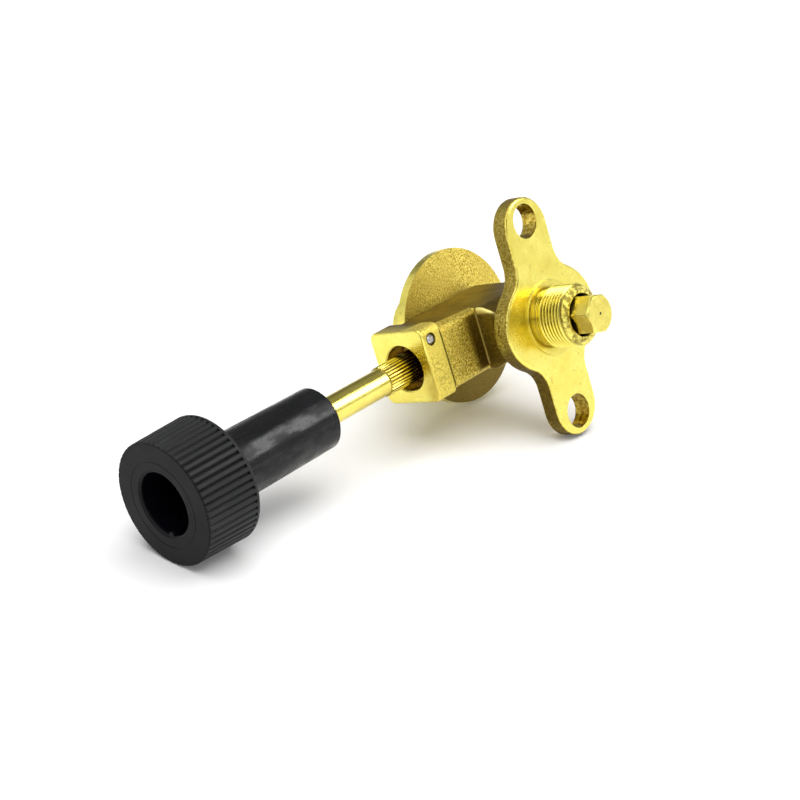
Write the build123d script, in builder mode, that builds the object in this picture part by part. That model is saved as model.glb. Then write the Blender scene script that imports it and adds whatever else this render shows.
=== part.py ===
from build123d import *
import math
import os

os.makedirs("parts", exist_ok=True)

# Gas stove valve, in millimetres.
# Origin at the middle of the flange face, +X out of the jet, -Y to the knob, +Z along the ears.
# Lengths along the spindle are called depths and count from the gas line towards the knob.

# Clearances
running_gap = 0.05
seal_gap = 0.02
press_gap = 0.01
seat_gap = 0.02
bore_gap = 0.08
loose_gap = 0.2
jet_gap = 0.12

# Flange with two ears
flange_t = 3.25
ear_pitch = 36.0
ear_hole_d = 6.2
ear_w = 11.3
ear_span = 33.2
hub_half_y = 12.55
hub_half_z = 9.4
ear_root_r = 5.0
flange_back_r = 0.6

# Outlet boss
ring_r = 6.78
ring_h = 0.35
thread_r = 5.6
thread_root_r = 5.15
thread_pitch = 0.69
thread_crest = 0.16
thread_start_x = 1.42
thread_turns = 7
relief_r = 4.95
relief_w = 0.2
relief_side = 0.05
collar_r = 5.25
mouth_cone_x = 6.55
mouth_x = 7.15
mouth_wall = 0.58
mouth_floor_x = 2.6

# Bar across the gas line, its front collar and the neck
spindle_x = -15.62
bar_left_x = -22.6
bar_right_x = -8.95
bar_half_z = 5.85
bar_rear_y = 5.6
bar_edge_r = 1.4
step_depth = 19.0
block_depth = 23.53
block_w = 13.0
block_h = 13.4
block_mid_z = 0.2
block_corner_r = 1.5
block_edge_r = 0.45
neck_front_depth = 9.4
neck_rear_y = 5.0
neck_slope_l = 4.25
neck_slope_r = 3.0
neck_end_half_z = 4.0
neck_flare_l = 1.75
neck_flare = 1.5
neck_flare_r = 2.0
neck_edge_r = 0.6
neck_limit = 0.95
bar_rear_r = 0.5

# Inlet disc and socket
disc_front_x = -22.6
disc_t = 2.2
disc_r = 14.6
disc_edge = 0.35
socket_r = 6.8
socket_end_x = -34.2
socket_edge = 0.4
socket_bore_r = 5.1
socket_relief_r = 5.55
socket_relief_l = 2.1
socket_floor_x = -25.2
socket_lead = 0.5

# Gas ways and spindle bore
passage_r = 0.8
inlet_passage_y = 2.1
outlet_passage_depth = 1.6
orifice_r = 0.9
seat_depth = 0.5
chamber_r = 2.6
chamber_depth = 4.0
screw_bore_r = 3.0
screw_bore_depth = 9.5
bore_r = 4.2
bore_lead = 0.25

# Retaining pin
pin_r = 0.8
pin_depth = 21.53
pin_z = 4.55
pin_edge = 0.2
pin_recess_r = 1.15
pin_recess_l = 1.2

# Needle spindle
screw_pitch = 1.0
open_turns = 1.5
travel = screw_pitch * open_turns
needle_angle = 20.0
needle_tip_r = 0.3
needle_base_r = 1.8
needle_neck_depth = 3.6
screw_start_depth = 4.25
stem_back_depth = 9.9
stem_front_depth = pin_depth - pin_r - travel - running_gap
groove_back_depth = 11.2
groove_front_depth = 13.0
groove_r = 2.75
o_ring_section_r = 0.7
socket_depth = 13.8

# Control rod
rod_r = 2.48
knurl_r = 2.76
knurl_front_depth = 29.9
knurl_teeth = 28
knurl_cut = 0.36
knurl_lead = 0.2
rod_end_gap = 0.2
rod_edge = 0.3
rod_flat_back_depth = 56.0
rod_flat_z = 1.9
tapped_depth = 9.0

# Knob
sleeve_depth = 45.6
sleeve_end_r = 5.55
sleeve_root_r = 5.7
sleeve_round = 0.5
head_front_depth = 80.1
head_l = 10.4
head_rear_r = 10.8
head_front_r = 10.42
head_rear_round = 0.5
head_front_round = 0.35
step_ring_r = 9.5
step_ring_h = 0.6
knob_hole_r = 5.42
knob_hole_l = 9.3
knob_web_t = 1.6
knob_hole_edge = 0.3
nub_w = 0.9
nub_h = 0.5
nub_angle = -101.0
rib_count = 56
rib_cut_depth = 0.34
rib_back_margin = 0.75
rib_runout = 0.3
face_ring_r = 7.3
face_ring_w = 0.15
face_ring_d = 0.05

# Knob screw and washer
screw_r = 1.45
screw_hole_r = 1.6
screw_length = 9.0
screw_head_r = 2.75
screw_head_h = 1.7
screw_head_round = 0.6
cross_w = 0.8
cross_l = 3.0
cross_d = 1.0
washer_r = 3.4
washer_t = 0.6

# Jet
hex_w = 6.5
hex_turn = -15.0
jet_end_x = 10.95
jet_face_r = 3.15
jet_shank_r = 2.45
jet_back_x = -4.5
jet_bore_r = 1.25
jet_bore_end_x = 9.6
jet_hole_r = 0.25
jet_way_x = -5.2
filter_l = 1.5

# Inlet seal and pin
inlet_ring_r = 4.5
inlet_ring_section_r = 0.9
inlet_pin_r = 1.0
inlet_pin_tip_x = -27.2
inlet_pin_hole_l = 2.6
inlet_pin_round = 0.4

# Derived values shared by the fits
spindle_axis = Axis((spindle_x, 0, 0), (0, -1, 0))
gas_axis = Axis((0, 0, 0), (1, 0, 0))
needle_slope = math.tan(math.radians(needle_angle))
needle_seat_r = orifice_r - seat_gap
needle_tip_depth = seat_depth - (needle_seat_r - needle_tip_r) / needle_slope
needle_base_depth = seat_depth + (needle_base_r - needle_seat_r) / needle_slope
block_left_x = spindle_x - block_w / 2
block_right_x = spindle_x + block_w / 2
bar_mid_x = (bar_left_x + bar_right_x) / 2
neck_slope_x = -flange_t - neck_slope_l
neck_flare_x = -flange_t - neck_flare_l
neck_flare_depth = neck_front_depth + neck_flare
hole_z = ear_pitch / 2
ear_root_z = hub_half_z + ear_root_r / 2
head_rear_depth = head_front_depth - head_l
knob_floor_depth = head_front_depth - knob_hole_l
knob_web_depth = knob_floor_depth - knob_web_t
rod_front_depth = knob_web_depth - rod_end_gap
washer_front_depth = knob_floor_depth + washer_t
o_ring_r = bore_r - seal_gap - o_ring_section_r
o_ring_depth = (groove_back_depth + groove_front_depth) / 2
thread_end_x = thread_start_x + thread_turns * thread_pitch
hex_bevel = hex_w - jet_face_r
hex_corner_r = hex_w / math.sqrt(3)
mouth_bore_r = hex_corner_r + jet_gap
mouth_rim_r = mouth_bore_r + mouth_wall
rib_tilt = math.degrees(math.atan((head_rear_r - head_front_r) / head_l))
rib_back_depth = head_rear_depth + rib_back_margin
rib_front_depth = head_front_depth + rib_runout
rib_mid_depth = (rib_back_depth + rib_front_depth) / 2
rib_mid_r = head_rear_r - (rib_mid_depth - head_rear_depth) * math.tan(math.radians(rib_tilt))
rib_step = 360.0 / rib_count
rib_cut_w = rib_cut_depth * math.sqrt(2)


def outside_hub(point):
    return (point.Y / hub_half_y) ** 2 + (point.Z / hub_half_z) ** 2


def neck_corner(edge):
    return spindle_x < edge.center().X - press_gap and edge.center().X + press_gap < -flange_t


# Valve body, one forging with machined faces and bores
with BuildPart() as valve_body:
    # Neck between the bar and the flange, level with the bar, arched down and flared to the flange
    with BuildSketch(Plane.XZ.offset(-neck_rear_y)):
        with BuildLine():
            upper_points = [(spindle_x, bar_half_z), (neck_slope_x, bar_half_z)]
            upper_points += [(-flange_t, neck_end_half_z)]
            lower_points = [(x, -z) for x, z in reversed(upper_points)]
            Polyline(*upper_points, *lower_points, close=True)
        make_face()
    extrude(amount=neck_rear_y + neck_flare_depth)
    fillet(valve_body.edges().filter_by(Axis.Y).filter_by(neck_corner), neck_slope_r)
    with BuildSketch(Plane.XY.offset(-bar_half_z)):
        with BuildLine():
            plan_points = [(spindle_x, -neck_front_depth), (neck_flare_x, -neck_front_depth)]
            plan_points += [(-flange_t, -neck_flare_depth), (-flange_t, neck_rear_y)]
            plan_points += [(spindle_x, neck_rear_y)]
            Polyline(*plan_points, close=True)
        make_face()
    extrude(amount=2 * bar_half_z, mode=Mode.INTERSECT)
    fillet(valve_body.edges().filter_by(Axis.Z).filter_by(neck_corner), neck_flare_r)
    front_edges = valve_body.edges().filter_by(lambda e: e.center().Y < running_gap - neck_front_depth)
    fillet(front_edges.filter_by(lambda e: abs(e.center().Z) > press_gap), neck_edge_r)
    # Flange plate with its two ears, rounded roots and rounded back edge
    with BuildSketch(Plane.YZ.offset(-flange_t)):
        Ellipse(hub_half_y, hub_half_z)
        SlotCenterToCenter(ear_span, ear_w, rotation=90)
    extrude(amount=flange_t)
    across_edges = valve_body.edges().filter_by(Axis.X).filter_by(lambda e: e.center().X > -flange_t)
    root_edges = across_edges.filter_by(lambda e: abs(e.center().Z) < ear_root_z)
    fillet(root_edges.filter_by(lambda e: abs(e.center().Y) < ear_w), ear_root_r)
    back_edges = valve_body.edges().filter_by(lambda e: abs(e.center().X + flange_t) < press_gap)
    fillet(back_edges.filter_by(lambda e: outside_hub(e.center()) > neck_limit), flange_back_r)
    # Bar across the gas line
    with BuildSketch(Plane.XZ.offset(-bar_rear_y)):
        with Locations((bar_mid_x, 0)):
            RectangleRounded(bar_right_x - bar_left_x, 2 * bar_half_z, bar_edge_r)
    extrude(amount=bar_rear_y + step_depth)
    fillet(valve_body.faces().filter_by(Axis.Y).sort_by(Axis.Y)[-1].edges(), bar_rear_r)
    # Front block round the spindle
    with BuildSketch(Plane.XZ.offset(step_depth)):
        with Locations((spindle_x, block_mid_z)):
            RectangleRounded(block_w, block_h, block_corner_r)
    extrude(amount=block_depth - step_depth)
    fillet(valve_body.faces().sort_by(Axis.Y)[0].edges(), block_edge_r)
    # Inlet disc and the socket behind it
    with BuildSketch(Plane.YZ.offset(disc_front_x)):
        Circle(disc_r)
    extrude(amount=-disc_t)
    chamfer(valve_body.faces().sort_by(Axis.X)[0].edges(), disc_edge)
    with BuildSketch(Plane.YZ.offset(disc_front_x)):
        Circle(socket_r)
    extrude(amount=socket_end_x - disc_front_x)
    chamfer(valve_body.faces().sort_by(Axis.X)[0].edges(), socket_edge)
    # Outlet boss with ring, undercut, thread, plain collar and coned mouth
    with BuildSketch(Plane.XY):
        with BuildLine():
            boss_points = [(-flange_t, 0), (-flange_t, ring_r), (ring_h, ring_r), (ring_h, thread_root_r)]
            boss_points += [(thread_start_x, thread_root_r)]
            for turn in range(thread_turns):
                crest_x = thread_start_x + (turn + 1 / 2) * thread_pitch
                boss_points += [(crest_x - thread_crest / 2, thread_r)]
                boss_points += [(crest_x + thread_crest / 2, thread_r)]
                boss_points += [(crest_x + thread_pitch / 2, thread_root_r)]
            boss_points += [(thread_end_x + relief_side, relief_r)]
            boss_points += [(thread_end_x + relief_w - relief_side, relief_r)]
            boss_points += [(thread_end_x + relief_w, collar_r), (mouth_cone_x, collar_r)]
            boss_points += [(mouth_x, mouth_rim_r), (mouth_x, 0)]
            Polyline(*boss_points, close=True)
        make_face()
    revolve(axis=gas_axis)
    # Mouth of the boss and the tapped hole for the jet
    with BuildSketch(Plane.YZ.offset(mouth_floor_x)):
        Circle(mouth_bore_r)
    extrude(amount=mouth_x - mouth_floor_x, mode=Mode.SUBTRACT)
    with BuildSketch(Plane.YZ.offset(jet_way_x)):
        Circle(jet_shank_r + running_gap)
    extrude(amount=mouth_floor_x - jet_way_x, mode=Mode.SUBTRACT)
    # Ear holes
    with BuildSketch(Plane.YZ):
        with Locations((0, hole_z), (0, -hole_z)):
            Circle(ear_hole_d / 2)
    extrude(amount=-flange_t, mode=Mode.SUBTRACT)
    # Inlet socket with its thread relief and lead-in
    with BuildSketch(Plane.XY):
        with BuildLine():
            socket_points = [(socket_floor_x, 0), (socket_floor_x, socket_relief_r)]
            socket_points += [(socket_floor_x - socket_relief_l, socket_relief_r)]
            socket_points += [(socket_floor_x - socket_relief_l, socket_bore_r)]
            socket_points += [(socket_end_x + socket_lead, socket_bore_r)]
            socket_points += [(socket_end_x, socket_bore_r + socket_lead), (socket_end_x, 0)]
            Polyline(*socket_points, close=True)
        make_face()
    revolve(axis=gas_axis, mode=Mode.SUBTRACT)
    # Blind hole for the inlet pin and the gas way beside it
    with BuildSketch(Plane.YZ.offset(socket_floor_x)):
        Circle(inlet_pin_r + press_gap)
    extrude(amount=inlet_pin_hole_l + loose_gap, mode=Mode.SUBTRACT)
    with BuildSketch(Plane.YZ.offset(socket_floor_x)):
        with Locations((inlet_passage_y, 0)):
            Circle(passage_r)
    extrude(amount=spindle_x + orifice_r - socket_floor_x, mode=Mode.SUBTRACT)
    # Gas way from the needle chamber to the jet
    with BuildSketch(Plane.YZ.offset(spindle_x)):
        with Locations((-outlet_passage_depth, 0)):
            Circle(passage_r)
    extrude(amount=jet_way_x - spindle_x, mode=Mode.SUBTRACT)
    # Spindle bore in steps down to the needle seat
    with BuildSketch(Plane.XY):
        with BuildLine():
            bore_points = [(spindle_x, inlet_passage_y), (spindle_x + orifice_r, inlet_passage_y)]
            bore_points += [(spindle_x + orifice_r, -seat_depth), (spindle_x + chamber_r, -seat_depth)]
            bore_points += [(spindle_x + chamber_r, -chamber_depth)]
            bore_points += [(spindle_x + screw_bore_r, -chamber_depth)]
            bore_points += [(spindle_x + screw_bore_r, -screw_bore_depth)]
            bore_points += [(spindle_x + bore_r, -screw_bore_depth)]
            bore_points += [(spindle_x + bore_r, bore_lead - block_depth)]
            bore_points += [(spindle_x + bore_r + bore_lead, -block_depth), (spindle_x, -block_depth)]
            Polyline(*bore_points, close=True)
        make_face()
    revolve(axis=spindle_axis, mode=Mode.SUBTRACT)
    # Cross hole for the retaining pin, wider at both ends
    with BuildSketch(Plane.YZ.offset(block_left_x)):
        with Locations((-pin_depth, pin_z)):
            Circle(pin_r + press_gap)
    extrude(amount=block_w, mode=Mode.SUBTRACT)
    for end_x, inward in ((block_left_x, pin_recess_l), (block_right_x, -pin_recess_l)):
        with BuildSketch(Plane.YZ.offset(end_x)):
            with Locations((-pin_depth, pin_z)):
                Circle(pin_recess_r)
        extrude(amount=inward, mode=Mode.SUBTRACT)
valve_body.part.label = "valve_body"
export_step(valve_body.part, "parts/valve_body.step")

# Needle spindle with screw, seal groove, trapped collar and socket for the rod
with BuildPart() as needle_spindle:
    with BuildSketch(Plane.XY):
        with BuildLine():
            stem_r = bore_r - bore_gap
            screw_stem_r = screw_bore_r - running_gap
            stem_points = [(0, -needle_tip_depth), (needle_tip_r, -needle_tip_depth)]
            stem_points += [(needle_base_r, -needle_base_depth), (needle_base_r, -needle_neck_depth)]
            stem_points += [(screw_stem_r - loose_gap, -screw_start_depth)]
            stem_points += [(screw_stem_r, -screw_start_depth - loose_gap), (screw_stem_r, -stem_back_depth)]
            stem_points += [(stem_r, -stem_back_depth), (stem_r, -groove_back_depth)]
            stem_points += [(groove_r, -groove_back_depth), (groove_r, -groove_front_depth)]
            stem_points += [(stem_r, -groove_front_depth), (stem_r, -stem_front_depth)]
            stem_points += [(knurl_r + press_gap, -stem_front_depth), (knurl_r + press_gap, -socket_depth)]
            stem_points += [(0, -socket_depth)]
            Polyline(*[(spindle_x + r, y) for r, y in stem_points], close=True)
        make_face()
    revolve(axis=spindle_axis)
needle_spindle.part.label = "needle_spindle"
export_step(needle_spindle.part, "parts/needle_spindle.step")

# Rubber ring in the spindle's groove
with BuildPart() as stem_o_ring:
    with BuildSketch(Plane.XY):
        with Locations((spindle_x + o_ring_r, -o_ring_depth)):
            Circle(o_ring_section_r)
    revolve(axis=spindle_axis)
stem_o_ring.part.label = "stem_o_ring"
export_step(stem_o_ring.part, "parts/stem_o_ring.step")

# Steel pin driven across the block, just clear of the rod and in the collar's way
with BuildPart() as retaining_pin:
    with BuildSketch(Plane.YZ.offset(block_left_x)):
        with Locations((-pin_depth, pin_z)):
            Circle(pin_r)
    extrude(amount=block_w)
    chamfer(retaining_pin.edges().filter_by(GeomType.CIRCLE), pin_edge)
retaining_pin.part.label = "retaining_pin"
export_step(retaining_pin.part, "parts/retaining_pin.step")

# Control rod, knurled at the valve end and flatted and tapped at the knob end
with BuildPart() as control_rod:
    with BuildSketch(Plane.XZ.offset(socket_depth + press_gap)):
        with Locations((spindle_x, 0)):
            Circle(knurl_r)
    extrude(amount=knurl_front_depth - socket_depth - press_gap)
    chamfer(control_rod.edges().filter_by(GeomType.CIRCLE), knurl_lead)
    with BuildSketch(Plane.XZ.offset(socket_depth + press_gap)):
        with Locations((spindle_x, 0)):
            with PolarLocations(knurl_r, knurl_teeth):
                Rectangle(knurl_cut, knurl_cut, rotation=45)
    extrude(amount=knurl_front_depth - socket_depth - press_gap, mode=Mode.SUBTRACT)
    with BuildSketch(Plane.XZ.offset(knurl_front_depth - knurl_lead)):
        with Locations((spindle_x, 0)):
            Circle(rod_r)
    extrude(amount=rod_front_depth - knurl_front_depth + knurl_lead)
    chamfer(control_rod.faces().sort_by(Axis.Y)[0].edges(), rod_edge)
    with BuildSketch(Plane.XZ.offset(rod_flat_back_depth)):
        with Locations((spindle_x, rod_flat_z + rod_r)):
            Rectangle(2 * rod_r, 2 * rod_r)
    extrude(amount=rod_front_depth - rod_flat_back_depth, mode=Mode.SUBTRACT)
    with BuildSketch(Plane.XZ.offset(rod_front_depth)):
        with Locations((spindle_x, 0)):
            Circle(screw_r + running_gap)
    extrude(amount=-tapped_depth, mode=Mode.SUBTRACT)
control_rod.part.label = "control_rod"
export_step(control_rod.part, "parts/control_rod.step")

# Knob with long sleeve, ribbed head, deep hole and a bore flatted to suit the rod
with BuildPart() as knob:
    with BuildSketch(Plane.XY):
        with BuildLine():
            knob_points = [(0, -sleeve_depth), (sleeve_end_r - sleeve_round, -sleeve_depth)]
            knob_points += [(sleeve_end_r, -sleeve_depth - sleeve_round)]
            knob_points += [(sleeve_root_r, step_ring_h - head_rear_depth)]
            knob_points += [(step_ring_r, step_ring_h - head_rear_depth), (step_ring_r, -head_rear_depth)]
            knob_points += [(head_rear_r, -head_rear_depth), (head_front_r, -head_front_depth)]
            knob_points += [(knob_hole_r, -head_front_depth), (knob_hole_r, -knob_floor_depth)]
            knob_points += [(screw_hole_r, -knob_floor_depth), (screw_hole_r, -knob_web_depth)]
            knob_points += [(0, -knob_web_depth)]
            Polyline(*[(spindle_x + r, y) for r, y in knob_points], close=True)
        make_face()
    revolve(axis=spindle_axis)
    # Rounded rims of the head and the mouth of the hole
    rim_edges = knob.edges().filter_by(GeomType.CIRCLE).sort_by(Axis.Y)
    front_edges = rim_edges.filter_by(lambda e: e.center().Y < rod_edge - head_front_depth)
    rear_edges = rim_edges.filter_by(lambda e: abs(e.center().Y + head_rear_depth) < rod_edge)
    fillet(front_edges.sort_by(SortBy.RADIUS)[-1:], head_front_round)
    fillet(rear_edges.sort_by(SortBy.RADIUS)[-1:], head_rear_round)
    chamfer(front_edges.sort_by(SortBy.RADIUS)[:1], knob_hole_edge)
    # Faint ring on the face
    with BuildSketch(Plane.XZ.offset(head_front_depth)):
        with Locations((spindle_x, 0)):
            Circle(face_ring_r)
            Circle(face_ring_r - face_ring_w, mode=Mode.SUBTRACT)
    extrude(amount=-face_ring_d, mode=Mode.SUBTRACT)
    # Small key low on the wall of the hole
    with BuildSketch(Plane.XZ.offset(knob_floor_depth)):
        with Locations((spindle_x, 0)):
            with PolarLocations(knob_hole_r, 1, start_angle=nub_angle):
                Rectangle(2 * nub_h, nub_w)
    extrude(amount=head_front_depth - knob_floor_depth - knob_hole_edge)
    # V grooves between the ribs, leaning with the taper of the head and open at the front
    rib_places = []
    for rib in range(rib_count):
        turned = Location((spindle_x, -rib_mid_depth, 0), (0, rib * rib_step, 0))
        leaned = Location((rib_mid_r, 0, 0), (0, 0, -rib_tilt))
        rib_places.append(turned * leaned * Location((0, 0, 0), (0, 45, 0)))
    with Locations(*rib_places):
        Box(rib_cut_w, rib_front_depth - rib_back_depth, rib_cut_w, mode=Mode.SUBTRACT)
    # Bore for the rod, round at the mouth and flatted from the rod's flat onwards
    with BuildSketch(Plane.XZ.offset(sleeve_depth)):
        with Locations((spindle_x, 0)):
            Circle(rod_r + running_gap)
    extrude(amount=rod_flat_back_depth - sleeve_depth, mode=Mode.SUBTRACT)
    with BuildSketch(Plane.XZ.offset(rod_flat_back_depth)):
        with Locations((spindle_x, 0)):
            Circle(rod_r + running_gap)
        with Locations((spindle_x, rod_flat_z + running_gap + rod_r)):
            Rectangle(2 * rod_r, 2 * rod_r, mode=Mode.SUBTRACT)
    extrude(amount=knob_web_depth - rod_flat_back_depth, mode=Mode.SUBTRACT)
knob.part.label = "knob"
export_step(knob.part, "parts/knob.step")

# Washer on the floor of the knob's hole
with BuildPart() as knob_washer:
    with BuildSketch(Plane.XZ.offset(knob_floor_depth)):
        with Locations((spindle_x, 0)):
            Circle(washer_r)
            Circle(screw_hole_r, mode=Mode.SUBTRACT)
    extrude(amount=washer_t)
knob_washer.part.label = "knob_washer"
export_step(knob_washer.part, "parts/knob_washer.step")

# Screw through the washer and the knob's web into the rod
with BuildPart() as knob_screw:
    with BuildSketch(Plane.XZ.offset(washer_front_depth)):
        with Locations((spindle_x, 0)):
            Circle(screw_head_r)
    extrude(amount=screw_head_h)
    fillet(knob_screw.faces().sort_by(Axis.Y)[0].edges(), screw_head_round)
    with BuildSketch(Plane.XZ.offset(washer_front_depth)):
        with Locations((spindle_x, 0)):
            Circle(screw_r)
    extrude(amount=-screw_length)
    with BuildSketch(Plane.XZ.offset(washer_front_depth + screw_head_h)):
        with Locations((spindle_x, 0)):
            Rectangle(cross_l, cross_w)
            Rectangle(cross_w, cross_l)
    extrude(amount=-cross_d, mode=Mode.SUBTRACT)
knob_screw.part.label = "knob_screw"
export_step(knob_screw.part, "parts/knob_screw.step")

# Jet with shank, bevelled hexagon, wide back bore and fine hole
with BuildPart() as jet:
    with BuildSketch(Plane.YZ.offset(mouth_floor_x)):
        RegularPolygon(hex_corner_r, 6, rotation=hex_turn)
    extrude(amount=jet_end_x - mouth_floor_x)
    with BuildSketch(Plane.XY):
        with BuildLine():
            Polyline((jet_end_x, jet_face_r), (jet_end_x, hex_w), (jet_end_x - hex_bevel, hex_w), close=True)
        make_face()
    revolve(axis=gas_axis, mode=Mode.SUBTRACT)
    with BuildSketch(Plane.YZ.offset(jet_back_x)):
        Circle(jet_shank_r)
    extrude(amount=mouth_floor_x - jet_back_x)
    with BuildSketch(Plane.YZ.offset(jet_back_x)):
        Circle(jet_bore_r)
    extrude(amount=jet_bore_end_x - jet_back_x, mode=Mode.SUBTRACT)
    with BuildSketch(Plane.YZ.offset(jet_end_x)):
        Circle(jet_hole_r)
    extrude(amount=jet_bore_end_x - jet_end_x, mode=Mode.SUBTRACT)
jet.part.label = "jet"
export_step(jet.part, "parts/jet.step")

# Sintered plug pressed in the back of the jet
with BuildPart() as jet_filter:
    with BuildSketch(Plane.YZ.offset(jet_back_x)):
        Circle(jet_bore_r - press_gap)
    extrude(amount=filter_l)
jet_filter.part.label = "jet_filter"
export_step(jet_filter.part, "parts/jet_filter.step")

# Rubber ring in the relief at the bottom of the inlet socket
with BuildPart() as inlet_seal:
    with BuildSketch(Plane.XY):
        with Locations((socket_floor_x - inlet_ring_section_r - seal_gap, inlet_ring_r)):
            Circle(inlet_ring_section_r)
    revolve(axis=gas_axis)
inlet_seal.part.label = "inlet_seal"
export_step(inlet_seal.part, "parts/inlet_seal.step")

# Pin in the inlet socket that opens the gas can's valve
with BuildPart() as inlet_pin:
    with BuildSketch(Plane.YZ.offset(inlet_pin_tip_x)):
        Circle(inlet_pin_r)
    extrude(amount=socket_floor_x + inlet_pin_hole_l - inlet_pin_tip_x)
    fillet(inlet_pin.faces().sort_by(Axis.X)[0].edges(), inlet_pin_round)
inlet_pin.part.label = "inlet_pin"
export_step(inlet_pin.part, "parts/inlet_pin.step")
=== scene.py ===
import bpy
import math
from mathutils import Matrix, Vector

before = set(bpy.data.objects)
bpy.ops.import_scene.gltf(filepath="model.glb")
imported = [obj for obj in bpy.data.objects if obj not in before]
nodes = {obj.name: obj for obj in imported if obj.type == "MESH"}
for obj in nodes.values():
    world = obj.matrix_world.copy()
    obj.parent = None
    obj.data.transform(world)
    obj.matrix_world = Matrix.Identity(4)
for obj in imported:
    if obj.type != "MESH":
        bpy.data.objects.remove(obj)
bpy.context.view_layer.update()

MM = 0.001

# Places and sizes on the valve in millimetres, as in the part's source. The gas line runs along X and
# the spindle along Y, with the knob at the end of -Y.
SPINDLE_X = -15.62
DISC_X = -22.6
DISC_BACK_X = -24.8
DISC_R = 14.6
BAR_X = -8.95
BAR_TOP = 5.85
STEP_Y = -19.0
BLOCK_Y = -23.53
BORE_R = 4.2
NECK_Y = -9.4
NECK_END_Z = 4.0
FLANGE_BACK_X = -3.25
FLANGE_FACE_X = 0.0
EAR_Z = 18.0
EAR_HOLE_R = 3.1
THREAD_START_X = 1.42
THREAD_END_X = 6.25
THREAD_ROOT_R = 5.15
MOUTH_R = 3.87
HEX_HALF_W = 3.25
KNURL_Y = -29.9
KNURL_R = 2.76
HEAD_REAR_Y = -69.7
HEAD_FACE_Y = -80.1
HEAD_FACE_R = 10.42
KNOB_HOLE_R = 5.42

# Places that only the materials have, also in millimetres: the slanting edge of the flat on top of the bar,
# the painted shadow line at the block's step and where the flange's side faces, painted with shade, leave
# its hub
SHEAR_X = -10.2
SHEAR_Y = -9.2
SHEAR_SLOPE = 0.25
CREASE_Y = -19.02
HUB_EDGE_R = 8.4

# Y and Z of the way that the jet's side with a painted dark reflection faces
REFLECTION_SIDE_Y = -0.966
REFLECTION_SIDE_Z = -0.259

# Tool marks, in radians of their wave for each millimetre
TURNING_WAVE = 24.0
MILLING_WAVE = 18.0
SEAT_WAVE = 15.0

# Nearly all of a noise lies between these two
NOISE_LOW = 0.3
NOISE_HIGH = 0.7

AO_SAMPLES = 8
BEVEL_SAMPLES = 4

# Colours of the forged skin, with painted shade, a painted dark reflection and a painted highlight
SKIN_LOW = (0.22, 0.140, 0.012)
SKIN_MID = (0.74, 0.56, 0.078)
SKIN_HIGH = (1.00, 0.87, 0.22)
SKIN_PATCH = (0.82, 0.64, 0.11)
SKIN_DISC = (0.58, 0.43, 0.075)
SKIN_BLOTCH = (0.40, 0.28, 0.035)
SKIN_BLOCK = (0.95, 0.80, 0.16)
SKIN_PIT = (0.22, 0.14, 0.015)
# Painted shade, for the flange's side faces and the neck's side
PAINTED_SHADE_LOW = (0.060, 0.036, 0.004)
PAINTED_SHADE_HIGH = (0.15, 0.095, 0.012)
# Sheared flat: real shear marks, painted dark as a dark reflection
SHEARED_PAINTED_DARK_LOW = (0.130, 0.082, 0.006)
SHEARED_PAINTED_DARK_HIGH = (0.27, 0.190, 0.026)
# Painted shade on the lower part of the disc
DISC_FOOT_SHADE = (0.12, 0.078, 0.016)
# Painted highlight along the neck's upper edge
NECK_PAINTED_HIGHLIGHT = (0.95, 0.85, 0.30)
NECK_SEAM = (0.58, 0.43, 0.14)
# Painted shadow line at the block's step
STEP_PAINTED_SHADOW = (0.10, 0.065, 0.008)
# Painted shade in corners
FORGED_CORNER_SHADE = (0.14, 0.09, 0.012)

# Colours of the body's machined places, with painted shade in the thread's root lines, the ear holes and the
# bore
CUT_LOW = (0.86, 0.72, 0.13)
CUT_HIGH = (0.95, 0.85, 0.20)
CUT_SPECK = (0.50, 0.32, 0.05)
# Painted shade in the thread's root lines
THREAD_ROOT_SHADE = (0.16, 0.098, 0.008)
SEAT_RING = (0.27, 0.175, 0.018)
MOUTH_DENT = (0.17, 0.11, 0.014)
# Painted shade on the walls of the ear holes
EAR_HOLE_WALL_SHADE = (0.34, 0.20, 0.02)
FRONT_SHADE = (0.42, 0.26, 0.026)
# Painted shade further into the spindle's bore
BORE_SHADE = (0.22, 0.13, 0.085)

# Colours of the turned pieces, with painted shade and a painted dark reflection
ROD_LOW, ROD_HIGH = (0.80, 0.66, 0.13), (0.92, 0.80, 0.19)
STEM_LOW, STEM_HIGH = (0.72, 0.53, 0.13), (0.86, 0.66, 0.20)
JET_LOW, JET_HIGH = (0.80, 0.66, 0.13), (0.93, 0.82, 0.20)
PIN_LOW, PIN_HIGH = (0.76, 0.57, 0.15), (0.88, 0.70, 0.22)
# Painted shade in the knurl's root lines and on the rod within the bore
KNURL_ROOT_SHADE = (0.15, 0.09, 0.008)
ROD_IN_BORE_SHADE = (0.30, 0.19, 0.06)
# Painted dark reflection on one side of the jet's hexagon
JET_PAINTED_REFLECTION = (0.36, 0.245, 0.02)
TURNED_SPECK = (0.40, 0.26, 0.04)
# Painted shade in corners
TURNED_CORNER_SHADE = (0.20, 0.13, 0.015)

# Colours of the other materials, with the knob's hole painted near black as shade
BLACK_LOW, BLACK_HIGH = (0.0035, 0.0037, 0.004), (0.0065, 0.0068, 0.0075)
BLACK_DUST = (0.05, 0.051, 0.053)
BLACK_RIB = (0.007, 0.0074, 0.008)
# The knob's hole, painted near black as shade
KNOB_HOLE_SHADE = (0.0025, 0.002, 0.004)
STEEL_LOW, STEEL_HIGH = (0.42, 0.42, 0.43), (0.66, 0.67, 0.69)
RUBBER_LOW, RUBBER_HIGH = (0.012, 0.012, 0.013), (0.022, 0.022, 0.023)
BEAD_TOP, BEAD_GAP = (0.52, 0.34, 0.13), (0.16, 0.09, 0.03)

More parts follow.
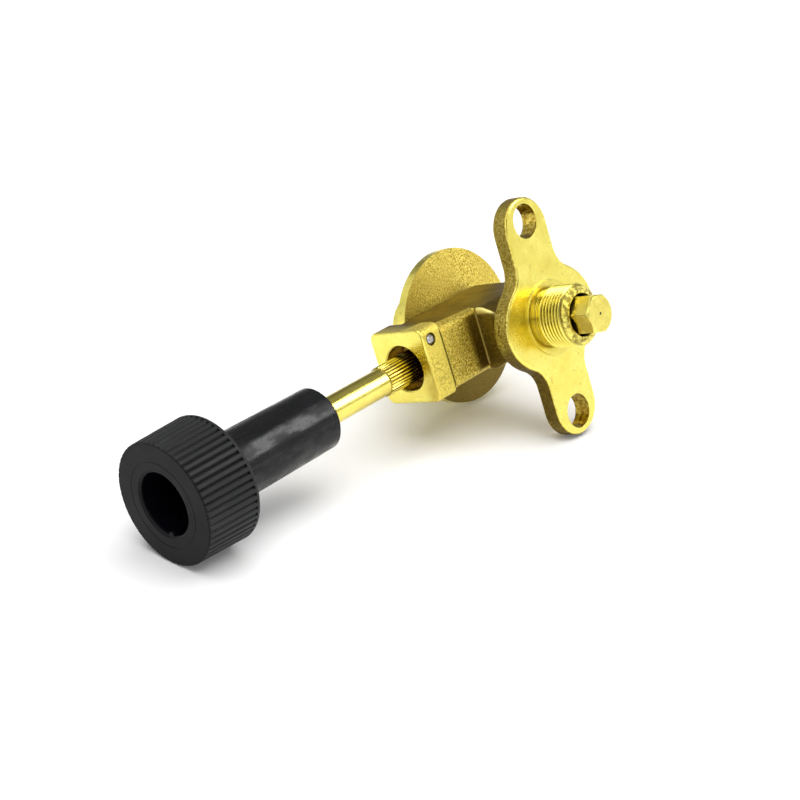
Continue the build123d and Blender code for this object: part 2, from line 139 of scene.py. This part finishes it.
# The studio, in metres and parts of white
FLOOR_R = 1.2
FLOOR_SIDES = 96
FLOOR_WHITE = (0.86, 0.86, 0.86)
FLOOR_NEAR = 0.09
FLOOR_FAR = 0.5
FLOOR_GLOW_NEAR = 0.12
FLOOR_GLOW_FAR = 0.9
WHITE = (1.0, 1.0, 1.0)
WORLD_LIGHT = 0.15
HORIZON = 0.02
CEILING_EDGE = 0.5
CEILING = 0.3
CORNER_EDGE = 0.75
CORNER_CORE = 0.97
DARK_CORNER = 0.45
LAMP_DISTANCE = 0.9


class Graph:
    """Adds shader nodes to a tree and links them."""

    def __init__(self, tree):
        self.tree = tree

    def node(self, kind, **settings):
        made = self.tree.nodes.new(kind)
        for key, value in settings.items():
            setattr(made, key, value)
        return made

    def link(self, source, target):
        self.tree.links.new(source, target)

    def put(self, socket, value):
        """Links another socket to this one, or sets a colour or a number on it."""
        if isinstance(value, bpy.types.NodeSocket):
            self.link(value, socket)
        elif isinstance(value, tuple):
            socket.default_value = (*value, 1.0)
        else:
            socket.default_value = value

    def math(self, operation, a, b=0.0):
        made = self.node("ShaderNodeMath", operation=operation)
        self.put(made.inputs[0], a)
        self.put(made.inputs[1], b)
        return made.outputs[0]

    def add(self, a, b):
        return self.math("ADD", a, b)

    def sub(self, a, b):
        return self.math("SUBTRACT", a, b)

    def mul(self, value, *others):
        for other in others:
            value = self.math("MULTIPLY", value, other)
        return value

    def top(self, value, *others):
        for other in others:
            value = self.math("MAXIMUM", value, other)
        return value

    def invert(self, value):
        return self.sub(1.0, value)

    def size(self, value):
        return self.math("ABSOLUTE", value)

    def wave(self, phase):
        return self.math("SINE", phase)

    def dist(self, a, b, a0=0.0, b0=0.0):
        da = self.sub(a, a0)
        db = self.sub(b, b0)
        return self.math("SQRT", self.add(self.mul(da, da), self.mul(db, db)))

    def dot(self, vector, direction):
        made = self.node("ShaderNodeVectorMath", operation="DOT_PRODUCT")
        self.link(vector, made.inputs[0])
        made.inputs[1].default_value = direction
        return made.outputs["Value"]

    def rise(self, value, low, high, start=0.0, end=1.0):
        """Goes smoothly from `start` where the value is `low` to `end` where it is `high`."""
        made = self.node("ShaderNodeMapRange", interpolation_type="SMOOTHSTEP")
        self.put(made.inputs["Value"], value)
        made.inputs["From Min"].default_value = low
        made.inputs["From Max"].default_value = high
        made.inputs["To Min"].default_value = start
        made.inputs["To Max"].default_value = end
        return made.outputs["Result"]

    def band(self, value, rising, falling):
        """1 between two soft edges, each given by where it starts and where it ends."""
        return self.mul(self.rise(value, *rising), self.rise(value, *falling))


class Surface(Graph):
    """One node material; its positions are the part's own, in millimetres."""

    def __init__(self, name):
        self.mat = bpy.data.materials.new(name)
        self.mat.use_nodes = True
        super().__init__(self.mat.node_tree)
        self.tree.nodes.clear()
        self.out = self.node("ShaderNodeOutputMaterial")
        coord = self.node("ShaderNodeTexCoord")
        scaled = self.node("ShaderNodeVectorMath", operation="SCALE")
        self.link(coord.outputs["Object"], scaled.inputs[0])
        scaled.inputs["Scale"].default_value = 1.0 / MM
        self.pos = scaled.outputs[0]
        split = self.node("ShaderNodeSeparateXYZ")
        self.link(self.pos, split.inputs[0])
        self.x, self.y, self.z = split.outputs

    def noise(self, size, detail, rough, stretch=(1, 1, 1), offset=(0, 0, 0)):
        place = self.node("ShaderNodeMapping")
        self.link(self.pos, place.inputs["Vector"])
        place.inputs["Scale"].default_value = stretch
        place.inputs["Location"].default_value = offset
        made = self.node("ShaderNodeTexNoise")
        self.link(place.outputs[0], made.inputs["Vector"])
        made.inputs["Scale"].default_value = 1.0 / size
        made.inputs["Detail"].default_value = detail
        made.inputs["Roughness"].default_value = rough
        return made.outputs[0]

    def cells(self, size):
        made = self.node("ShaderNodeTexVoronoi")
        self.link(self.pos, made.inputs["Vector"])
        made.inputs["Scale"].default_value = 1.0 / size
        return made.outputs["Distance"]

    def merge(self, main, other):
        """Two noises as one, six parts of the first to four of the second."""
        return self.add(self.mul(main, 0.6), self.mul(other, 0.4))

    def vary(self, noise, start, end):
        """Follows a noise from `start` where it is low to `end` where it is high."""
        return self.rise(noise, NOISE_LOW, NOISE_HIGH, start, end)

    def mix(self, factor, a, b):
        made = self.node("ShaderNodeMix", data_type="RGBA")
        # The sockets for colours come after those for numbers and vectors
        self.put(made.inputs[0], factor)
        self.put(made.inputs[6], a)
        self.put(made.inputs[7], b)
        return made.outputs[2]

    def blend(self, factor, a, b):
        made = self.node("ShaderNodeMix", data_type="FLOAT")
        self.put(made.inputs[0], factor)
        self.put(made.inputs[2], a)
        self.put(made.inputs[3], b)
        return made.outputs[0]

    def ramp(self, factor, *stops):
        made = self.node("ShaderNodeValToRGB")
        self.put(made.inputs[0], factor)
        ramp = made.color_ramp
        while len(ramp.elements) < len(stops):
            ramp.elements.new(0.5)
        for element, (place, colour) in zip(ramp.elements, stops):
            element.position = place
            element.color = (*colour, 1.0)
        return made.outputs[0]

    def tint(self, noise, low, high):
        return self.ramp(noise, (NOISE_LOW, low), (NOISE_HIGH, high))

    def bump(self, height, strength, depth_mm, normal=None):
        made = self.node("ShaderNodeBump")
        self.link(height, made.inputs["Height"])
        self.put(made.inputs["Strength"], strength)
        made.inputs["Distance"].default_value = depth_mm * MM
        if normal is not None:
            self.link(normal, made.inputs["Normal"])
        return made.outputs[0]

    def corners(self, reach_mm, low, high, most):
        """A mask for painted shade, from ambient occlusion: grows from 0 in the open to `most` in tight
        corners.
        """
        made = self.node("ShaderNodeAmbientOcclusion", samples=AO_SAMPLES)
        made.inputs["Distance"].default_value = reach_mm * MM
        return self.rise(made.outputs["AO"], high, low, 0.0, most)

    def soft_edges(self, radius_mm):
        made = self.node("ShaderNodeBevel", samples=BEVEL_SAMPLES)
        made.inputs["Radius"].default_value = radius_mm * MM
        return made.outputs[0]

    def finish(self, colour, rough, metallic, normal, specular=None):
        shader = self.node("ShaderNodeBsdfPrincipled")
        self.put(shader.inputs["Base Color"], colour)
        self.put(shader.inputs["Roughness"], rough)
        shader.inputs["Metallic"].default_value = metallic
        self.link(normal, shader.inputs["Normal"])
        if specular is not None:
            self.link(specular, shader.inputs["Specular IOR Level"])
        self.link(shader.outputs[0], self.out.inputs["Surface"])
        return self.mat


def forged_brass():
    """As-forged skin with machined faces, bores and rim, chosen by where they are on the body, and painted
    shade, a painted highlight and a painted dark reflection in places.
    """
    g = Surface("forged_brass")
    facing = g.node("ShaderNodeSeparateXYZ")
    g.link(g.node("ShaderNodeNewGeometry").outputs["Normal"], facing.inputs[0])
    sideways = g.rise(g.size(facing.outputs["X"]), 0.6, 0.3)
    level = g.rise(facing.outputs["Z"], 0.75, 0.92)
    gas_r = g.dist(g.y, g.z)
    spindle_r = g.dist(g.x, g.z, SPINDLE_X)
    ear_r = g.dist(g.y, g.size(g.z), 0.0, EAR_Z)

    # Machined areas
    flange = g.rise(g.x, FLANGE_FACE_X - 0.22, FLANGE_FACE_X - 0.08)
    front = g.rise(g.y, BLOCK_Y + 0.35, BLOCK_Y + 0.12)
    rim = g.mul(g.rise(gas_r, DISC_R - 0.3, DISC_R - 0.1), g.rise(g.x, DISC_X - 0.02, DISC_X - 0.12))
    back = g.rise(g.x, DISC_BACK_X + 0.3, DISC_BACK_X + 0.1)
    bore = g.mul(g.rise(spindle_r, BORE_R + 0.35, BORE_R + 0.2), g.rise(g.y, -0.2, -0.6))
    ears = g.rise(ear_r, EAR_HOLE_R + 0.15, EAR_HOLE_R + 0.05)
    machined = g.top(flange, front, rim, back, bore, ears)
    hole_wall = g.mul(ears, sideways)

    # The boss: the root lines of its thread, painted with shade, its dented mouth and the ring at its foot
    thread = g.band(
        g.x,
        rising=(THREAD_START_X - 0.22, THREAD_START_X - 0.02),
        falling=(THREAD_END_X + 0.05, THREAD_END_X - 0.15),
    )
    thread_root_shade = g.mul(thread, g.rise(gas_r, THREAD_ROOT_R + 0.35, THREAD_ROOT_R + 0.03))
    mouth = g.mul(
        g.rise(g.x, THREAD_END_X - 0.15, THREAD_END_X + 0.25),
        g.rise(gas_r, MOUTH_R - 0.27, MOUTH_R - 0.07),
    )
    seat = g.band(
        g.x,
        rising=(FLANGE_FACE_X + 0.05, FLANGE_FACE_X + 0.15),
        falling=(THREAD_START_X + 0.03, THREAD_START_X - 0.07),
    )

    # Sheared flat along the top of the bar, with a slanting edge, and on over the neck
    slant = g.sub(g.x, g.mul(g.sub(g.y, SHEAR_Y), SHEAR_SLOPE))
    bar_top = g.mul(
        g.rise(g.z, BAR_TOP - 0.5, BAR_TOP - 0.15),
        level,
        g.rise(slant, SHEAR_X, SHEAR_X - 0.6),
        g.rise(g.y, BLOCK_Y + 0.13, STEP_Y + 0.1, 0.35, 1.0),
    )
    neck_length = g.band(
        g.x,
        rising=(BAR_X - 2.05, BAR_X - 1.05),
        falling=(FLANGE_BACK_X - 0.05, FLANGE_BACK_X - 0.75),
    )
    neck_top = g.mul(
        g.rise(g.z, NECK_END_Z - 0.4, NECK_END_Z + 0.4),
        level,
        g.rise(g.y, NECK_Y + 0.1, NECK_Y + 0.5),
        neck_length,
    )
    sheared = g.top(bar_top, neck_top)

    # Painted shade on the side of the neck, a painted highlight along its upper edge, and its corner with
    # the bar
    scoop = g.mul(
        g.band(
            g.x,
            rising=(BAR_X - 0.2, BAR_X - 0.05),
            falling=(FLANGE_BACK_X + 0.05, FLANGE_BACK_X - 1.35),
        ),
        g.band(g.y, rising=(NECK_Y - 4.0, NECK_Y - 1.8), falling=(NECK_Y + 0.7, NECK_Y + 0.2)),
    )
    lip_highlight = g.mul(
        scoop,
        g.rise(g.dist(g.y, g.z, NECK_Y + 0.6, BAR_TOP - 0.6), 1.1, 0.6),
        g.rise(g.x, BAR_X + 0.1, BAR_X + 0.6),
    )
    seam = g.mul(
        g.rise(g.dist(g.x, g.y, BAR_X + 0.05, NECK_Y - 0.05), 0.22, 0.08),
        g.band(g.z, rising=(0.65 - BAR_TOP, 1.45 - BAR_TOP), falling=(BAR_TOP - 0.25, BAR_TOP - 1.05)),
    )

    # Painted shade on the flange's forged side faces, stronger towards the bottom, and on the lower part of
    # the disc
    side_shade = g.mul(
        sideways,
        g.rise(g.x, FLANGE_BACK_X - 0.2, FLANGE_BACK_X + 0.3),
        g.rise(gas_r, HUB_EDGE_R - 0.4, HUB_EDGE_R + 0.4),
        g.rise(g.z, 3.0, -6.0, 0.68, 0.95),
    )
    disc_foot_shade = g.mul(
        g.rise(g.z, -3.5, -7.5),
        g.band(g.x, rising=(DISC_X - 0.1, DISC_X - 0.02), falling=(DISC_X + 0.4, DISC_X + 0.1)),
    )

    # Painted shadow line where the block steps in from the bar, and the block, the disc's face and the bar's
    # side
    crease_shadow = g.mul(
        g.rise(g.size(g.sub(g.y, CREASE_Y)), 0.18, 0.07),
        g.rise(g.x, BAR_X - 0.75, BAR_X - 0.45),
        g.rise(g.size(g.z), BAR_TOP + 0.15, BAR_TOP - 0.65),
    )
    block = g.rise(g.y, STEP_Y + 0.4, STEP_Y - 0.2)
    disc = g.rise(g.x, DISC_X + 0.6, DISC_X + 0.2)
    bar_side = g.mul(g.rise(g.x, BAR_X - 0.6, BAR_X - 0.2), g.rise(g.y, NECK_Y - 0.1, NECK_Y - 0.3))

    # Grain of the forged skin
    grain = g.noise(0.36, detail=4.0, rough=0.65)
    fine = g.noise(0.17, detail=1.0, rough=0.5, offset=(7, 3, 1))
    broad = g.noise(5.5, detail=3.0, rough=0.5, offset=(1, 9, 4))
    blotch = g.noise(1.3, detail=3.0, rough=0.6, offset=(6, 1, 2))
    pits = g.rise(g.cells(0.62), 0.18, 0.02, 0.0, 0.6)
    skin_height = g.merge(grain, fine)
    skin = g.ramp(skin_height, (0.42, SKIN_LOW), (0.495, SKIN_MID), (0.57, SKIN_HIGH))
    skin = g.mix(g.rise(broad, 0.35, 0.7, 0.0, 0.35), skin, SKIN_PATCH)
    skin = g.mix(g.mul(disc, g.vary(broad, 0.25, 0.6)), skin, SKIN_DISC)
    skin = g.mix(g.mul(bar_side, g.rise(blotch, 0.5, 0.66, 0.0, 0.35)), skin, SKIN_BLOTCH)
    skin = g.mix(g.mul(block, g.rise(broad, 0.3, 0.6, 0.35, 0.65)), skin, SKIN_BLOCK)
    skin = g.mix(pits, skin, SKIN_PIT)

    # Turned and milled faces, with fine tool marks and specks
    turning = g.wave(g.add(g.mul(gas_r, TURNING_WAVE), g.mul(broad, 6.0)))
    milling = g.wave(g.add(g.mul(g.z, MILLING_WAVE), g.mul(broad, 9.0)))
    marks = g.blend(front, turning, milling)
    cloud = g.noise(3.2, detail=4.0, rough=0.6, offset=(4, 4, 8))
    speck = g.rise(g.noise(0.9, detail=2.0, rough=0.5, offset=(2, 6, 6)), 0.64, 0.74)
    rings = g.rise(g.wave(g.mul(g.x, SEAT_WAVE)), -0.1, 0.7, 0.1, 0.75)
    dents = g.noise(0.7, detail=2.0, rough=0.55, offset=(9, 1, 5))
    shaded = g.mul(front, g.rise(g.x, SPINDLE_X + 2.5, SPINDLE_X + 5.0), g.rise(g.z, 3.0, 0.5))
    bore_shade = g.mul(bore, g.rise(g.y, BLOCK_Y + 0.3, BLOCK_Y + 4.0))
    bright = g.tint(cloud, CUT_LOW, CUT_HIGH)
    bright = g.mix(g.mul(speck, 0.4), bright, CUT_SPECK)
    # Painted shade in the thread's root lines
    bright = g.mix(g.mul(thread_root_shade, 0.9), bright, THREAD_ROOT_SHADE)
    bright = g.mix(g.mul(seat, rings), bright, SEAT_RING)
    bright = g.mix(g.mul(mouth, g.rise(dents, 0.40, 0.58, 0.8, 0.05)), bright, MOUTH_DENT)
    # Painted shade on the walls of the ear holes, broken up by dents
    bright = g.mix(g.mul(hole_wall, g.rise(dents, 0.38, 0.62, 0.95, 0.4)), bright, EAR_HOLE_WALL_SHADE)
    bright = g.mix(g.mul(shaded, g.vary(cloud, 0.65, 0.35)), bright, FRONT_SHADE)
    # Painted shade further into the spindle's bore
    bright = g.mix(bore_shade, bright, BORE_SHADE)

    # Sheared flat with its real shear marks, painted dark as a dark reflection, and places of painted shade
    shear_marks = g.noise(0.8, detail=4.0, rough=0.65, stretch=(0.25, 1, 1), offset=(3, 3, 3))
    sheared_painted_dark = g.ramp(g.merge(broad, shear_marks), (0.38, SHEARED_PAINTED_DARK_LOW), (0.62, SHEARED_PAINTED_DARK_HIGH))
    # Painted shade for the flange's side faces and the neck's side
    dark = g.ramp(grain, (0.35, PAINTED_SHADE_LOW), (0.65, PAINTED_SHADE_HIGH))

    # All of it together
    # Painted shade on the flange's side faces, stronger towards the bottom, and on the disc's lower part
    colour = g.mix(g.mul(side_shade, g.rise(broad, 0.3, 0.6, 0.7, 1.0)), skin, dark)
    colour = g.mix(g.mul(disc_foot_shade, 0.9), colour, DISC_FOOT_SHADE)
    # Painted shade on the side of the neck, lighter towards the top, and a painted highlight along its upper
    # edge
    colour = g.mix(g.mul(scoop, g.rise(g.z, -5.0, 4.0, 0.95, 0.8)), colour, dark)
    colour = g.mix(lip_highlight, colour, NECK_PAINTED_HIGHLIGHT)
    colour = g.mix(g.mul(seam, 0.8), colour, NECK_SEAM)
    # Painted shadow line at the block's step
    colour = g.mix(g.mul(crease_shadow, 0.85), colour, STEP_PAINTED_SHADOW)
    # The sheared flat is painted dark as a dark reflection, over its real shear marks
    colour = g.mix(sheared, colour, sheared_painted_dark)
    colour = g.mix(machined, colour, bright)
    # Painted shade in corners and recesses, from ambient occlusion, weaker on machined faces
    corner_shade = g.corners(4.0, low=0.25, high=0.8, most=0.6)
    colour = g.mix(g.mul(corner_shade, g.rise(machined, 0.0, 1.0, 1.0, 0.4)), colour, FORGED_CORNER_SHADE)

    rough = g.blend(sheared, g.vary(grain, 0.55, 0.40), 0.48)
    rough = g.blend(scoop, rough, 0.45)
    rough = g.blend(machined, rough, g.vary(cloud, 0.20, 0.30))
    rough = g.blend(mouth, rough, 0.42)

    worked = g.top(machined, g.mul(sheared, 0.75), g.mul(scoop, 0.5))
    worked = g.sub(worked, g.mul(mouth, 0.8))
    skin_bump = g.mul(g.invert(worked), g.rise(disc, 0.0, 1.0, 1.0, 0.7))
    bumped = g.bump(skin_height, skin_bump, 0.24, g.soft_edges(0.15))
    bumped = g.bump(dents, g.top(g.mul(mouth, 0.9), g.mul(hole_wall, 0.5)), 0.25, bumped)
    bumped = g.bump(marks, g.mul(machined, 0.14), 0.01, bumped)
    bumped = g.bump(seam, 0.6, 0.12, bumped)
    return g.finish(colour, rough, 1.0, bumped)


def turned_brass(name, axis, pitch, low, high, rough, knurled=False, painted_reflection=False):
    """Bright turned brass with tool marks round the axis, a little tarnish, painted shade in corners and, if
    asked, painted shade in the knurl's root lines and within the bore, or a painted dark reflection on the
    jet.
    """
    g = Surface(name)
    along = g.y if axis == "Y" else g.x
    stretch = (1, 0.12, 1) if axis == "Y" else (0.12, 1, 1)
    cloud = g.noise(2.4, detail=4.0, rough=0.6)
    streak = g.noise(0.9, detail=3.0, rough=0.5, stretch=stretch)
    marks = g.wave(g.add(g.mul(along, 2 * math.pi / pitch), g.mul(cloud, 5.0)))
    colour = g.ramp(g.merge(cloud, streak), (0.32, low), (0.68, high))
    if knurled:
        # Painted shade in the knurl's root lines and on the rod within the bore
        root = g.mul(
            g.rise(g.dist(g.x, g.z, SPINDLE_X), KNURL_R - 0.02, KNURL_R - 0.16),
            g.rise(g.y, KNURL_Y - 0.05, KNURL_Y + 0.05),
        )
        colour = g.mix(g.mul(root, 0.92), colour, KNURL_ROOT_SHADE)
        in_bore_shade = g.rise(g.y, BLOCK_Y - 0.3, BLOCK_Y + 1.4, 0.0, 0.85)
        colour = g.mix(in_bore_shade, colour, ROD_IN_BORE_SHADE)
    if painted_reflection:
        # The hexagon's side that faces to the knob and a little down, with a painted dark reflection of the
        # shadowed floor
        low_side = g.add(g.mul(g.y, REFLECTION_SIDE_Y), g.mul(g.z, REFLECTION_SIDE_Z))
        reflection_mask = g.mul(
            g.rise(low_side, HEX_HALF_W - 0.15, HEX_HALF_W - 0.03),
            g.rise(cloud, 0.3, 0.6, 0.5, 0.85),
        )
        colour = g.mix(reflection_mask, colour, JET_PAINTED_REFLECTION)
    speck = g.rise(g.noise(0.45, detail=2.0, rough=0.5, offset=(3, 1, 7)), 0.66, 0.76)
    colour = g.mix(g.mul(speck, 0.4), colour, TURNED_SPECK)
    # Painted shade in corners, from ambient occlusion
    colour = g.mix(g.corners(1.5, low=0.2, high=0.7, most=0.5), colour, TURNED_CORNER_SHADE)
    bumped = g.bump(marks, 0.07, 0.01, g.soft_edges(0.10))
    bumped = g.bump(streak, 0.05, 0.05, bumped)
    return g.finish(colour, g.vary(cloud, *rough), 1.0, bumped)


def black_plastic():
    """Moulded black plastic: glossy dusty sleeve, slightly greyed and scuffed head, a hole painted near
    black as shade and less reflection painted into each rib groove as shade.
    """
    g = Surface("black_plastic")
    radius = g.dist(g.x, g.z, SPINDLE_X)
    head = g.rise(g.y, HEAD_REAR_Y + 0.8, HEAD_REAR_Y + 0.4)
    face = g.rise(g.y, HEAD_FACE_Y + 0.25, HEAD_FACE_Y + 0.1)
    ribs = g.mul(head, g.rise(radius, HEAD_FACE_R - 0.27, HEAD_FACE_R + 0.03), g.invert(face))
    # Painted shade in each rib groove, from ambient occlusion
    groove_shade = g.mul(ribs, g.corners(0.9, low=0.35, high=0.95, most=0.9))
    hole = g.mul(
        g.rise(radius, KNOB_HOLE_R + 0.13, KNOB_HOLE_R + 0.03),
        g.rise(g.y, HEAD_FACE_Y + 0.2, HEAD_FACE_Y + 0.9),
    )

    cloud = g.noise(4.5, detail=4.0, rough=0.6)
    grain = g.noise(0.25, detail=2.0, rough=0.5)
    streak = g.noise(0.7, detail=3.0, rough=0.55, stretch=(1, 0.08, 1))
    wavy = g.noise(3.0, detail=2.0, rough=0.5, stretch=(1, 0.6, 1), offset=(8, 8, 2))
    patchy = g.noise(2.6, detail=3.0, rough=0.6, stretch=(1, 0.45, 1), offset=(2, 7, 3))
    dust = g.rise(g.noise(0.5, detail=3.0, rough=0.6, offset=(5, 2, 9)), 0.62, 0.76)

    colour = g.tint(cloud, BLACK_LOW, BLACK_HIGH)
    colour = g.mix(g.mul(dust, 0.3), colour, BLACK_DUST)
    colour = g.mix(g.mul(ribs, g.rise(grain, 0.35, 0.65, 0.2, 0.6)), colour, BLACK_RIB)
    # The knob's hole painted near black as shade
    colour = g.mix(hole, colour, KNOB_HOLE_SHADE)

    rough = g.add(g.vary(streak, 0.05, 0.14), g.rise(patchy, 0.38, 0.64, 0.10, 0.26))
    rough = g.blend(head, rough, g.vary(cloud, 0.46, 0.56))
    rough = g.blend(ribs, rough, g.vary(cloud, 0.52, 0.64))
    rough = g.add(rough, g.mul(dust, 0.15))
    rough = g.blend(hole, rough, 0.9)

    shine = g.blend(ribs, g.rise(patchy, 0.35, 0.65, 0.34, 0.18), 0.36)
    # Less reflection in each rib groove, as painted shade
    shine = g.blend(groove_shade, shine, 0.02)
    shine = g.blend(face, shine, 0.14)
    # No reflection in the knob's hole, as painted shade
    shine = g.blend(hole, shine, 0.0)

    bumped = g.bump(grain, g.blend(head, 0.30, 0.22), 0.03, g.soft_edges(0.15))
    bumped = g.bump(streak, 0.12, 0.05, bumped)
    bumped = g.bump(wavy, g.blend(head, 0.45, 0.0), 0.20, bumped)
    bumped = g.bump(patchy, g.blend(head, 0.14, 0.0), 0.10, bumped)
    bumped = g.bump(dust, g.blend(head, 0.30, 0.05), 0.04, bumped)
    return g.finish(colour, rough, 0.0, bumped, specular=shine)


def steel():
    g = Surface("bright_steel")
    cloud = g.noise(0.8, detail=3.0, rough=0.6)
    scratch = g.noise(0.5, detail=3.0, rough=0.6, stretch=(1, 0.1, 1))
    colour = g.tint(cloud, STEEL_LOW, STEEL_HIGH)
    return g.finish(colour, g.vary(cloud, 0.22, 0.36), 1.0, g.bump(scratch, 0.12, 0.03))


def seal_rubber():
    g = Surface("seal_rubber")
    cloud = g.noise(0.6, detail=3.0, rough=0.6)
    colour = g.tint(cloud, RUBBER_LOW, RUBBER_HIGH)
    return g.finish(colour, g.vary(cloud, 0.55, 0.7), 0.0, g.bump(cloud, 0.15, 0.04))


def sintered_bronze():
    g = Surface("sintered_bronze")
    beads = g.cells(0.28)
    colour = g.ramp(beads, (0.1, BEAD_TOP), (0.6, BEAD_GAP))
    return g.finish(colour, g.rise(beads, 0.1, 0.6, 0.4, 0.7), 1.0, g.bump(beads, -0.6, 0.12))


def wear(material, *names):
    for name in names:
        data = nodes[name].data
        data.materials.clear()
        data.materials.append(material)


rod_brass = turned_brass("rod_brass", "Y", 0.12, ROD_LOW, ROD_HIGH, (0.14, 0.22), knurled=True)
stem_brass = turned_brass("stem_brass", "Y", 0.2, STEM_LOW, STEM_HIGH, (0.25, 0.35))
jet_brass = turned_brass("jet_brass", "X", 0.15, JET_LOW, JET_HIGH, (0.18, 0.28), painted_reflection=True)
pin_brass = turned_brass("pin_brass", "X", 0.15, PIN_LOW, PIN_HIGH, (0.2, 0.3))
wear(forged_brass(), "valve_body")
wear(rod_brass, "control_rod")
wear(stem_brass, "needle_spindle")
wear(jet_brass, "jet")
wear(pin_brass, "inlet_pin")
wear(black_plastic(), "knob")
wear(steel(), "retaining_pin", "knob_screw", "knob_washer")
wear(seal_rubber(), "stem_o_ring", "inlet_seal")
wear(sintered_bronze(), "jet_filter")

# The camera stands where the photograph was taken from
camera_right = Vector((0.699748, 0.653323, -0.289002))
camera_down = Vector((-0.027970, -0.379179, -0.924900))
camera_ahead = Vector((-0.713842, 0.655281, -0.247056))
camera_place = Vector((0.184253, -0.210246, 0.064678))
lens = bpy.data.cameras.new("camera")
lens.sensor_width = 36.0
lens.lens = 72.0
lens.clip_start = 0.01
camera = bpy.data.objects.new("camera", lens)
camera_turn = Matrix((camera_right, -camera_down, -camera_ahead)).transposed()
camera.matrix_world = Matrix.Translation(camera_place) @ camera_turn.to_4x4()
bpy.context.collection.objects.link(camera)
bpy.context.scene.camera = camera

# The valve lies on its lower ear, the disc's edge and the knob, so the floor leans in the valve's own frame
floor_up = Vector((0.312, 0.083, 0.947)).normalized()
floor_drop = min(floor_up.dot(v.co) for node in nodes.values() for v in node.data.vertices)


def seen_rays(graph):
    """Two sockets: 1 for rays from the camera, and 1 for those and rays off a gloss or through glass."""
    path = graph.node("ShaderNodeLightPath").outputs
    to_camera = path["Is Camera Ray"]
    return to_camera, graph.top(to_camera, path["Is Glossy Ray"], path["Is Transmission Ray"])


# Floor: matt white, with a glow where it is seen that grows to the background's white away from the valve
floor_mat = bpy.data.materials.new("floor_white")
floor_mat.use_nodes = True
paint = Graph(floor_mat.node_tree)
paint.tree.nodes.clear()
matt = paint.node("ShaderNodeBsdfDiffuse")
paint.put(matt.inputs["Color"], FLOOR_WHITE)
away = paint.node("ShaderNodeVectorMath", operation="LENGTH")
paint.link(paint.node("ShaderNodeTexCoord").outputs["Object"], away.inputs[0])
glow_level = paint.rise(away.outputs["Value"], FLOOR_NEAR, FLOOR_FAR, FLOOR_GLOW_NEAR, FLOOR_GLOW_FAR)
glow = paint.node("ShaderNodeEmission")
paint.link(paint.mul(glow_level, seen_rays(paint)[1]), glow.inputs["Strength"])
matt_and_glow = paint.node("ShaderNodeAddShader")
paint.link(matt.outputs[0], matt_and_glow.inputs[0])
paint.link(glow.outputs[0], matt_and_glow.inputs[1])
paint.link(matt_and_glow.outputs[0], paint.node("ShaderNodeOutputMaterial").inputs["Surface"])
bpy.ops.mesh.primitive_circle_add(vertices=FLOOR_SIDES, radius=FLOOR_R, fill_type="NGON")
floor = bpy.context.object
floor.name = "floor"
floor_turn = Vector((0, 0, 1)).rotation_difference(floor_up).to_matrix().to_4x4()
floor.matrix_world = Matrix.Translation(floor_up * floor_drop) @ floor_turn
floor.data.materials.append(floor_mat)

# World: white to the camera. The metal sees it white round the horizon, with a dim ceiling and a dim corner.
world = bpy.data.worlds.new("studio")
bpy.context.scene.world = world
world.use_nodes = True
sky = Graph(world.node_tree)
backdrop = sky.tree.nodes["Background"]
sky.put(backdrop.inputs["Color"], WHITE)
way = sky.node("ShaderNodeTexCoord").outputs["Generated"]
corner_way = Vector((-0.69, 0.65, 0.3)).normalized()
room = sky.mul(
    sky.rise(sky.dot(way, floor_up), HORIZON, CEILING_EDGE, 1.0, CEILING),
    sky.rise(sky.dot(way, corner_way), CORNER_EDGE, CORNER_CORE, 1.0, DARK_CORNER),
)
to_camera, to_any_gloss = seen_rays(sky)
strength = sky.rise(to_any_gloss, 0.0, 1.0, WORLD_LIGHT, 1.0)
sky.link(sky.top(sky.mul(room, strength), to_camera), backdrop.inputs["Strength"])

# Lamps, all aimed at the middle of the valve
aim = Vector((-0.012, -0.032, 0.0))


def softbox(name, direction, width, height, power, on_floor=True, in_metal=True):
    """A lamp that can be kept out of matt surfaces, such as the floor, or out of reflections."""
    lamp = bpy.data.lights.new(name, "AREA")
    lamp.shape = "RECTANGLE"
    lamp.size = width
    lamp.size_y = height
    lamp.energy = power
    place = bpy.data.objects.new(name, lamp)
    towards = direction.normalized()
    place.location = aim + towards * LAMP_DISTANCE
    place.rotation_euler = towards.to_track_quat("Z", "Y").to_euler()
    place.visible_diffuse = on_floor
    place.visible_glossy = in_metal
    bpy.context.collection.objects.link(place)


above_left = floor_up - camera_right * 0.35 - camera_ahead * 0.2
above_right = floor_up + camera_right * 0.15 - camera_ahead * 0.1
behind_camera = floor_up * 0.4 - camera_ahead
softbox("main", Vector((0.69, 0.59, 0.43)), width=0.36, height=0.64, power=4.2, on_floor=False)
softbox("left", Vector((-0.714, -0.05, 0.68)), width=0.5, height=0.5, power=0.35, on_floor=False)
softbox("overhead", above_left, width=0.7, height=0.7, power=5.0, on_floor=False)
softbox("canopy", above_right, width=1.3, height=1.3, power=16.5, in_metal=False)
softbox("fill", behind_camera, width=0.5, height=0.5, power=1.2)

bpy.context.scene.view_settings.view_transform = "Standard"
